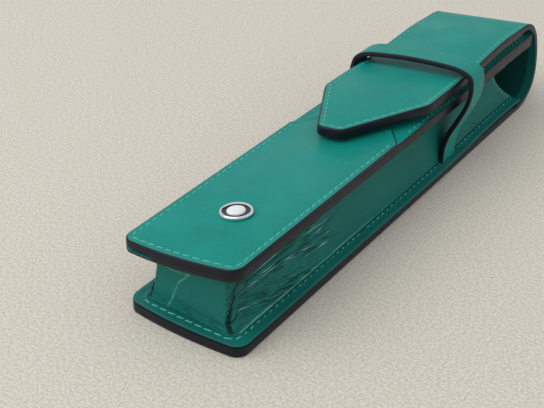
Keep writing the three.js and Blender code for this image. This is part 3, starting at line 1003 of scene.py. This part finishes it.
def tongue_layer(name, low, high, rounds, materials, nodes, channel=False):
    work = bmesh.new()
    start = ROLLED + LENGTH - HIDDEN_BUTT
    cut_outline(work, tongue_points(start), rounded=(2, 3, 4, 5), radius=1.7)
    butt = lambda edge: any(vert.co.y > start + 0.01 for vert in edge.verts)
    thicken(work, low, high, rounds, kept=butt)
    paint_rims(work)
    if channel:
        seam_channel(work, low, -1)
    cut_across(work, [start + i for i in range(1, 14)])
    settle(work, rolled=True)
    bend_tongue(make_piece(name, work, materials, None, nodes))


def build_flap():
    butt = ROLLED + LENGTH - HIDDEN_BUTT
    strip_length("flap_leather", ROLLED, butt, 0, HIDE, {0: 0.5}, [calf, coat],
                 ["flap_leather"], 3, body="flap", channel=True)
    strip_length("flap_lining", ROLLED, butt, HIDE, FLAP_THICK, {FLAP_THICK: 0.4},
                 [lining_skin, coat], ["flap_lining"], 2, body="flap",
                 thin=HIDE + THIN_LINING)
    tongue_layer("tongue_leather", 0, HIDE, {0: 0.5}, [calf, coat], ["tongue_leather"],
                 channel=True)
    tongue_layer("tongue_lining", HIDE, FLAP_THICK, {FLAP_THICK: 0.4}, [lining_skin, coat],
                 ["tongue_lining"])


build_curl()
build_flap()


# ---------------------------------------------------------------------------------------------
# Keeper strap: a lined loop of the same leather from seam to seam over the flap.
# Both ends are caught in the seam between gusset and back panel. It swells out at the flap's
# edges; its own edges are coated black and its lining stays green.
# ---------------------------------------------------------------------------------------------
STRAP_WIDTH = 8.0
STRAP_NEAR = 103.2
STRAP_SLANT = 0.19
STRAP_BOW = 0.5
STRAP_THICK = 1.4
STRAP_SIDE = ((14.0, 3.6), (14.1, 7.4), (15.3, 10.9), (17.3, 14.1), (19.2, 17.6), (20.2, 21.2),
              (20.2, 24.9), (18.8, 28.0), (14.5, 29.7), (8.5, 30.2))
LEFT_SWELL = 0.6


def smooth_line(points, steps):
    """A smooth line through a few points."""
    ends = [2 * points[0] - points[1], *points, 2 * points[-1] - points[-2]]
    line = []
    for a, b, c, d in zip(ends, ends[1:], ends[2:], ends[3:]):
        for i in range(steps):
            t = i / steps
            bend = (2 * a - 5 * b + 4 * c - d) * t ** 2 + (3 * b - a - 3 * c + d) * t ** 3
            line.append(b + (c - a) * t / 2 + bend / 2)
    return [*line, points[-1]]


def strap_line():
    """Points of the strap's outer face, from one foot over the flap to the other."""
    right = [Vector(point) for point in STRAP_SIDE]
    left = []
    for point in reversed(right):
        swell = max(point.x - HALF, 0) * (LEFT_SWELL - 1)
        left.append(Vector((-point.x - swell, point.y)))
    crown = [Vector((0, right[-1].y + 0.2))]
    return smooth_line(right + crown + left, 5)


def build_strap():
    line = strap_line()
    last = len(line) - 1
    stretch = 100
    work = bmesh.new()
    bmesh.ops.create_grid(work, x_segments=last, y_segments=8, size=0.5)
    grown = bmesh.ops.extrude_face_region(work, geom=work.faces[:])
    raised = [item for item in grown["geom"] if isinstance(item, bmesh.types.BMVert)]
    bmesh.ops.translate(work, verts=raised, vec=(0, 0, 1))
    bmesh.ops.scale(work, verts=work.verts, vec=(stretch, STRAP_WIDTH, STRAP_THICK))
    bmesh.ops.recalc_face_normals(work, faces=work.faces)
    rims = [e for e in work.edges if
            all(abs(abs(v.co.y) - STRAP_WIDTH / 2) < 1e-5 for v in e.verts) and
            abs(e.verts[0].co.z - e.verts[1].co.z) < 1e-5 and
            abs(e.verts[0].co.x - e.verts[1].co.x) > 1e-5]
    bmesh.ops.bevel(work, geom=rims, affect="EDGES", offset=0.35, segments=3, profile=0.5,
                    material=-1)
    work.normal_update()
    for face in work.faces:
        inner = face.calc_center_median().z < STRAP_THICK / 2
        face.material_index = (2 if inner else 0) if abs(face.normal.z) > 0.999 else 1
    for vert in work.verts:
        i = min(max(round((vert.co.x / stretch + 0.5) * last), 0), last)
        before, after = line[max(i - 1, 0)], line[min(i + 1, last)]
        along = (after - before).normalized()
        spot = line[i] + Vector((along.y, -along.x)) * (vert.co.z - STRAP_THICK)
        height = spot.y - WALL_LOW
        bow = STRAP_BOW * max(1 - (spot.x / HALF) ** 2, 0) * smooth(height / FRONT_TOP)
        y = STRAP_NEAR + STRAP_WIDTH / 2 + vert.co.y + STRAP_SLANT * height + bow
        vert.co = Vector((spot.x, y, spot.y))
    settle(work)
    strap = make_piece("strap_leather", work, [calf, coat, lining_skin], None,
                       ["strap_leather", "strap_lining"])
    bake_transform(strap)


build_strap()


# ---------------------------------------------------------------------------------------------
# Emblem: a plain boss on a post. A polished cup with a raised rim holds a ring of black enamel
# round a low dome of white enamel; a washer behind the overlay keeps the post.
# ---------------------------------------------------------------------------------------------
def polished_metal(name, colour, roughness):
    material, tree, shader = principled(name, colour, roughness, Metallic=1.0)
    place = object_place(tree)
    hairline = noise_node(tree, place, 1600.0, 2.0)
    tree.links.new(ramp(tree, hairline, 0.3, 0.7, roughness, roughness + 0.06),
                   shader.inputs["Roughness"])
    tarnish = noise_node(tree, place, 300.0, 3.0)
    dull = tuple(share * 0.86 for share in colour)
    tree.links.new(blend_colour(tree, tarnish, colour, dull), shader.inputs["Base Color"])
    return material


def black_enamel():
    material, tree, shader = principled("black_enamel", (0.006, 0.006, 0.007), 0.12)
    place = object_place(tree)
    ripple = noise_node(tree, place, 500.0, 2.0)
    tree.links.new(ramp(tree, ripple, 0.3, 0.7, 0.08, 0.18), shader.inputs["Roughness"])
    bump(tree, shader, ripple, 0.1, 0.00002)
    return material


def white_enamel():
    """Opaque white enamel: glossy, faintly uneven."""
    material, tree, shader = principled("white_enamel", (0.80, 0.82, 0.82), 0.18)
    place = object_place(tree)
    clouds = noise_node(tree, place, 420.0, 2.0)
    tone = blend_colour(tree, clouds, (0.72, 0.75, 0.76), (0.88, 0.89, 0.88))
    tree.links.new(tone, shader.inputs["Base Color"])
    tree.links.new(ramp(tree, clouds, 0.3, 0.7, 0.14, 0.24), shader.inputs["Roughness"])
    return material


def spin_piece(name, profile, at, materials, nodes, painted=None):
    """A turned piece: a profile spun about the emblem's axis and closed at both ends."""
    work = bmesh.new()
    verts = [work.verts.new((r, 0, z)) for r, z in profile]
    edges = [work.edges.new(pair) for pair in zip(verts, verts[1:])]
    bmesh.ops.spin(work, geom=verts + edges, cent=(0, 0, 0), axis=(0, 0, 1), dvec=(0, 0, 0),
                   angle=math.tau, steps=64, use_merge=True)
    bmesh.ops.remove_doubles(work, verts=work.verts[:], dist=1e-4)
    bmesh.ops.holes_fill(work, edges=[e for e in work.edges if e.is_boundary], sides=0)
    for face in work.faces:
        middle = face.calc_center_median()
        if painted and painted[0] < Vector((middle.x, middle.y)).length < painted[1]:
            face.material_index = 1
    bmesh.ops.translate(work, verts=work.verts, vec=(at.x, at.y, FRONT_TOP))
    settle(work)
    return make_piece(name, work, materials, "pouch", nodes)


def build_emblem():
    chrome = polished_metal("polished_metal", (0.86, 0.87, 0.89), 0.07)
    enamel = black_enamel()
    bezel_low, bezel_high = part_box("emblem_bezel")
    middle = (bezel_low + bezel_high) / 2
    at = Vector(((middle.x - CENTRE_X) / MM - LEAN_SIDE, (middle.y - BOTTOM_Y) / MM))
    radius = (bezel_high.x - bezel_low.x) / 2 / MM
    floor = 0.55
    rim = 0.75
    cup = [(radius - 0.25, -0.15), (radius, 0.15), (radius, 0.7), (radius - 0.2, 0.98),
           (radius - 0.42, 1.05), (radius - 0.62, 0.98), (radius - rim, 0.75),
           (radius - rim - 0.06, floor), (radius * 0.30, floor)]
    spin_piece("emblem_bezel", cup, at, [chrome, enamel], ["emblem_bezel"],
               painted=(radius * 0.3, radius - rim))
    button = radius * 0.56
    dome = [(button, floor - 0.1), (button, floor + 0.2)]
    for i in range(1, 9):
        angle = i / 8 * math.pi / 2
        dome.append((button * math.cos(angle), floor + 0.2 + 0.75 * math.sin(angle)))
    spin_piece("emblem_dome", dome, at, [white_enamel()], ["emblem_dome"])
    refinish("emblem_washer", polished_metal("washer_metal", (0.70, 0.69, 0.66), 0.25))


build_emblem()


# ---------------------------------------------------------------------------------------------
# Seams: sewn by machine with waxed thread, about ten stitches to the inch.
# Each stitch is a short plump length of thread that dips into a needle hole at both ends.
# The needle holes are small dark blobs of painted shade.
# ---------------------------------------------------------------------------------------------
PITCH = 2.55
STITCH_LONG = 2.15
STITCH_WIDE = 0.42
STITCH_HIGH = 0.30
BACK_STITCH_IN = 2.8
END_STITCH_IN = 1.7


def resample(line, pitch):
    """Evenly spaced places along a line: the middle and direction of each stitch."""
    total = sum((b - a).length for a, b in zip(line, line[1:]))
    count = max(1, round(total / pitch))
    places, walked, i = [], 0.0, 0
    for n in range(count):
        target = (n + 0.5) * total / count
        while walked + (line[i + 1] - line[i]).length < target:
            walked += (line[i + 1] - line[i]).length
            i += 1
        along = (line[i + 1] - line[i]).normalized()
        places.append((line[i] + along * (target - walked), along))
    return places


def sew(name, line, height, body, nodes, rolled=False, up=1):
    """Stitches along a line in the plan or on the flat strip, and dark holes of painted shade between
    them.
    """
    work = bmesh.new()
    for middle, along in resample(line, PITCH):
        vary = noise.noise(Vector((middle.x, middle.y, height)) * 0.9)
        slant = math.atan2(along.y, along.x) + 0.10 + 0.12 * vary
        turn = Matrix.Rotation(slant, 4, "Z")
        place = Matrix.Translation((middle.x, middle.y, height + (0.03 + 0.06 * vary) * up))
        size = Matrix.Diagonal((STITCH_LONG * (1 + 0.15 * vary), STITCH_WIDE, STITCH_HIGH, 1))
        bmesh.ops.create_uvsphere(work, u_segments=8, v_segments=6, radius=0.5,
                                  matrix=place @ turn @ size)
        end = middle + along * PITCH / 2
        # A dark blob of painted shade stands for the needle hole.
        spot = Matrix.Translation((end.x, end.y, height - 0.10 * up))
        hole = Matrix.Diagonal((0.55, 0.5, 0.30, 1))
        made = bmesh.ops.create_uvsphere(work, u_segments=6, v_segments=4, radius=0.5,
                                         matrix=spot @ turn @ hole)
        for vert in made["verts"]:
            for face in vert.link_faces:
                face.material_index = 1
    settle(work, rolled=rolled)
    return make_piece(name, work, [thread, hole_shade], body, nodes)


def seam_u(half, end, corner, far):
    """A seam round both sides and the bottom end, with round corners."""
    count = 8
    line = []
    for stretch in range(5):
        steps = 1 if stretch in (0, 4) else count
        line += [round_line(stretch + i / steps, half, end, corner, far) for i in range(steps)]
    line.append(round_line(5, half, end, corner, far))
    return line


def bowed(line, bulge):
    """A line that follows the bow of a panel's bottom edge."""
    return [Vector((point.x, point.y - bow_at(point, bulge))) for point in line]


def inset_line(points, distance):
    """A line that runs inside an open outline, each stretch moved in by that distance."""
    moved = []
    for a, b in zip(points, points[1:]):
        along = (b - a).normalized()
        shift = Vector((-along.y, along.x)) * distance
        moved.append((a + shift, along))
    line = [moved[0][0]]
    for (start, along), (other, turned) in zip(moved, moved[1:]):
        gap = other - start
        cross = along.x * turned.y - along.y * turned.x
        line.append(start + along * ((gap.x * turned.y - gap.y * turned.x) / cross))
    end, along = moved[-1]
    line.append(end + along * (points[-1] - points[-2]).length)
    return line


def build_seams():
    inset = HALF - STITCH_IN
    over = bowed(seam_u(inset, STITCH_IN, 1.9, OVERLAY_END - 1), BULGE)
    sew("front_stitching", over, FRONT_TOP - 0.08, "pouch", ["front_stitching"])
    back = bowed(seam_u(HALF - BACK_STITCH_IN, END_STITCH_IN, 2.6, LENGTH + 1), BACK_BULGE / 2)
    sew("back_stitching", back, WALL_LOW + 0.02, "pouch", ["back_stitching"])
    butt = ROLLED + LENGTH - HIDDEN_BUTT
    for side, name in ((-1, "left"), (1, "right")):
        x = side * inset
        line = [Vector((x, OVERLAY_END + TAPER[1] + 1)), Vector((x, FRONT_END - 2.5))]
        sew(f"mouth_stitching_{name}", line, BASE_HIGH - 0.08, "pouch",
            [f"mouth_stitching_{name}"])
        sew(f"flap_stitching_{name}", [Vector((x, ROLLED)), Vector((x, butt))], 0.08, "flap",
            [f"flap_stitching_{name}"], rolled=True, up=-1)
    points = [Vector(point) for point in tongue_points(butt)]
    outline = [points[0], *reversed(points[1:])]
    bend_tongue(sew("tongue_stitching", inset_line(outline, STITCH_IN), 0.08, None,
                    ["tongue_stitching"], rolled=True, up=-1))


build_seams()
